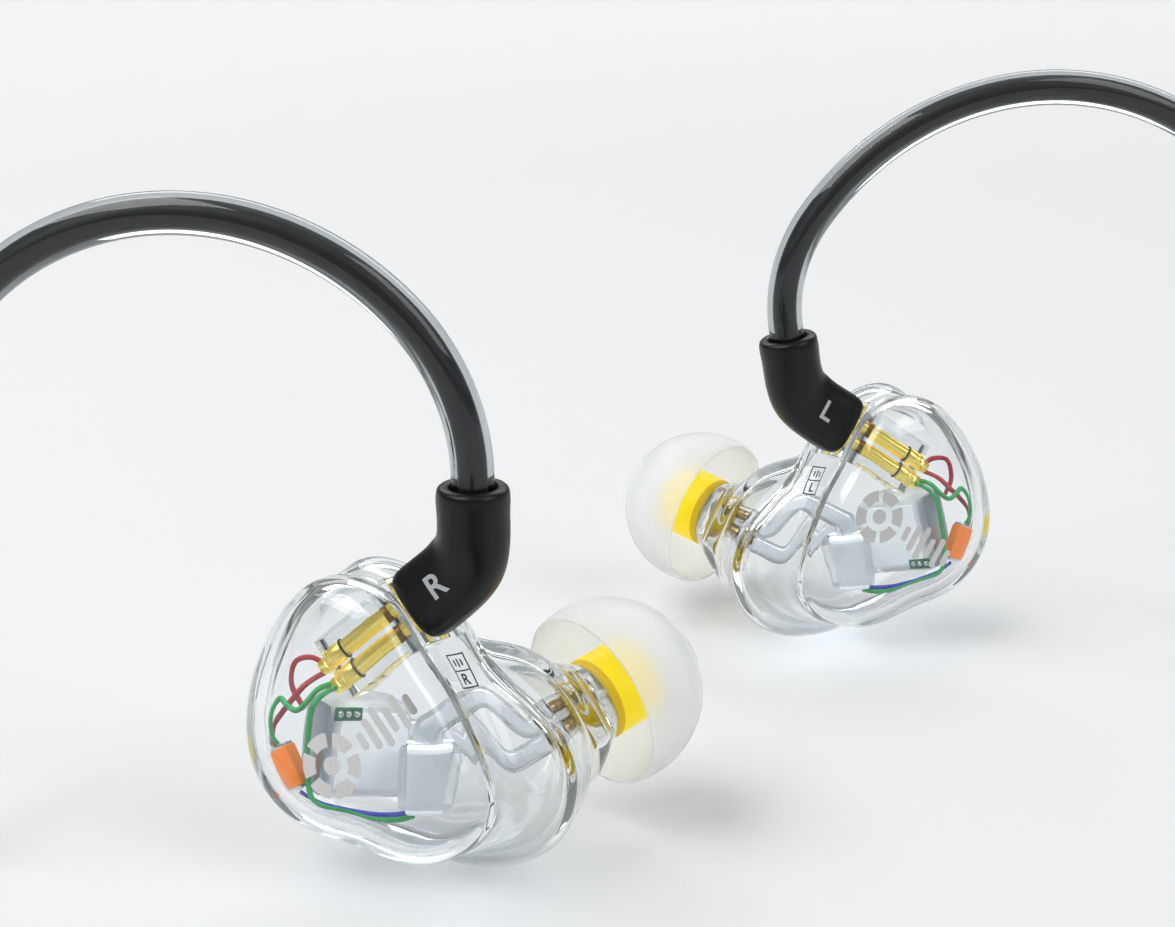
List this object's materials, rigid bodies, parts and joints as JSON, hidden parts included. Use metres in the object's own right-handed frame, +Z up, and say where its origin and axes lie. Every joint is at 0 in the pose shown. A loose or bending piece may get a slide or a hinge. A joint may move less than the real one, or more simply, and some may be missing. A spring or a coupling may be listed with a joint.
{
  "type": "in-ear monitors",
  "caption": "Pair of clear-shell in-ear monitors with ear hooks, detachable two-pin leads, silicone tips and a coiled cable ending in a mini jack.",
  "frame": {"origin": "middle of the footprint of the two earpieces and their ear hooks, on the surface they stand on", "axes": "+X from the right earpiece towards the left one, +Y from the right earpiece's faceplate away behind it, +Z up"},
  "size_m": [0.1078, 0.1182, 0.0488],
  "materials": {
    "clear_acrylic": "polished clear acrylic",
    "screen_steel": "fine woven mesh",
    "gold_plate": "gold plated, polished",
    "black_seal": "matt",
    "driver_can": "satin nickel",
    "clear_silicone": "soft clear silicone",
    "sound_tube": "milky silicone tube",
    "damper_brown": "woven damper in a brown cup",
    "capacitor_orange": "moulded epoxy",
    "wire_red": "enamelled wire",
    "wire_green": "enamelled wire",
    "wire_blue": "enamelled wire",
    "tip_yellow": "smooth silicone",
    "tip_white": "translucent white silicone",
    "black_elbow": "satin soft-touch moulding",
    "carrier_plastic": "moulded",
    "hook_clear": "clear heat-shrunk sleeve",
    "lead_black": "smooth black jacket",
    "tie_fabric": "hook-and-loop strap",
    "plug_shell": "satin black metal",
    "insulator": "moulded"
  },
  "bodies": {
    "lead": {"boot_r": "black_elbow", "pin_carrier_r": "carrier_plastic", "plug_pins_r": "gold_plate", "hook_sleeve_r": "hook_clear", "hook_lead_r": "lead_black", "branch_cable_r": "lead_black", "boot_l": "black_elbow", "pin_carrier_l": "carrier_plastic", "plug_pins_l": "gold_plate", "hook_sleeve_l": "hook_clear", "hook_lead_l": "lead_black", "branch_cable_l": "lead_black", "cable_coil": "lead_black", "coil_tie": "tie_fabric", "y_splitter": "black_elbow", "plug_lead": "lead_black", "plug_relief": "lead_black", "plug_barrel": "plug_shell", "jack_sleeve": "gold_plate", "jack_ring": "gold_plate", "jack_tip": "gold_plate", "jack_insulator": "insulator"},
    "earpiece_r": {"shell_body_r": "clear_acrylic", "faceplate_r": "clear_acrylic", "nozzle_screen_r": "screen_steel", "socket_block_r": "clear_acrylic", "socket_sleeves_r": "gold_plate", "sleeve_seals_r": "black_seal", "woofer_r": "driver_can", "tweeter_r": "driver_can", "tweeter_boot_r": "clear_silicone", "low_tube_r": "sound_tube", "high_tube_r": "sound_tube", "dampers_r": "damper_brown", "capacitor_r": "capacitor_orange", "red_wires_r": "wire_red", "green_wires_r": "wire_green", "blue_wire_r": "wire_blue"},
    "eartip_r": {"eartip_core_r": "tip_yellow", "eartip_dome_r": "tip_white"},
    "earpiece_l": {"shell_body_l": "clear_acrylic", "faceplate_l": "clear_acrylic", "nozzle_screen_l": "screen_steel", "socket_block_l": "clear_acrylic", "socket_sleeves_l": "gold_plate", "sleeve_seals_l": "black_seal", "woofer_l": "driver_can", "tweeter_l": "driver_can", "tweeter_boot_l": "clear_silicone", "low_tube_l": "sound_tube", "high_tube_l": "sound_tube", "dampers_l": "damper_brown", "capacitor_l": "capacitor_orange", "red_wires_l": "wire_red", "green_wires_l": "wire_green", "blue_wire_l": "wire_blue"},
    "eartip_l": {"eartip_core_l": "tip_yellow", "eartip_dome_l": "tip_white"}
  },
  "joints": [
    {"name": "unplug_r", "type": "slide", "parent": "lead", "child": "earpiece_r", "axis": [-0.7179, 0.1768, -0.6733], "range_m": [0, 0.006]},
    {"name": "tip_off_r", "type": "slide", "parent": "earpiece_r", "child": "eartip_r", "axis": [0.7405, 0.6423, 0.1979], "range_m": [0, 0.005]},
    {"name": "unplug_l", "type": "slide", "parent": "lead", "child": "earpiece_l", "axis": [0.7907, 0.2184, -0.5719], "range_m": [0, 0.006]},
    {"name": "tip_off_l", "type": "slide", "parent": "earpiece_l", "child": "eartip_l", "axis": [-0.7502, 0.6388, 0.1706], "range_m": [0, 0.005]}
  ]
}
